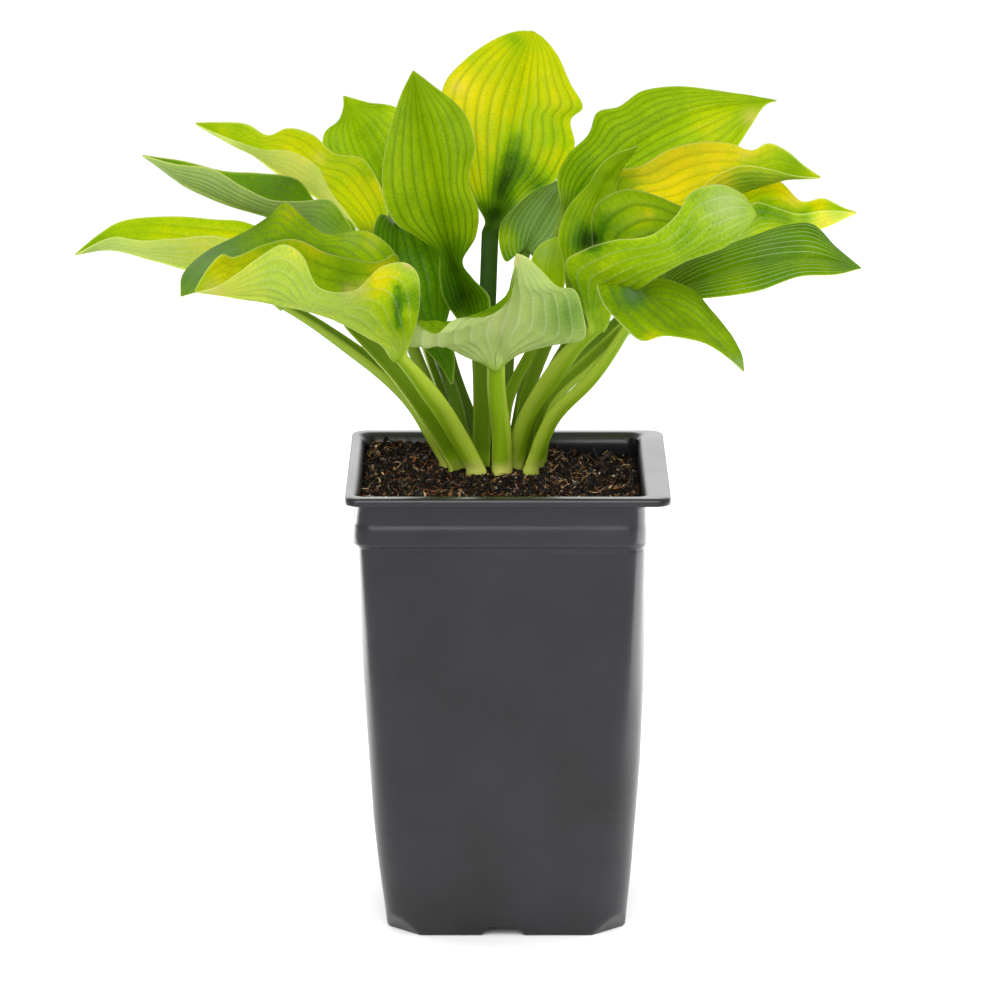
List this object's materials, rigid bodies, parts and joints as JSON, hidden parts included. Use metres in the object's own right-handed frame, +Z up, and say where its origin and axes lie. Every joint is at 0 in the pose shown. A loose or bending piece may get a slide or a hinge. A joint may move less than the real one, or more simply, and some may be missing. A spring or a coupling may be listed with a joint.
{
  "type": "potted hosta plant",
  "caption": "Hosta plant with broad waved, ribbed leaves on channelled stalks, growing in soil in a tapered square black nursery pot.",
  "frame": {"origin": "middle of the pot's flat foot, on the surface it stands on", "axes": "+Z up, -Y towards the front of the plant, +X to the right seen from the front"},
  "size_m": [0.3144, 0.1735, 0.346],
  "materials": {
    "nursery_plastic": "satin charcoal",
    "potting_mix": "dark loose peat and bark",
    "leaf": "satin green and yellow leaf"
  },
  "bodies": {
    "root": {"pot": "nursery_plastic", "soil": "potting_mix", "leaf_front": "leaf", "leaf_front_left": "leaf", "leaf_left_shaded": "leaf", "leaf_left_low": "leaf", "leaf_left": "leaf", "leaf_left_upper": "leaf", "leaf_left_rear": "leaf", "leaf_centre": "leaf", "leaf_hollow": "leaf", "leaf_tall": "leaf", "leaf_rear": "leaf", "leaf_right_rear": "leaf", "leaf_right_upper": "leaf", "leaf_right_far": "leaf", "leaf_right_dark": "leaf", "leaf_right_front": "leaf", "leaf_right_low": "leaf", "leaf_narrow": "leaf", "leaf_small": "leaf"}
  },
  "joints": []
}
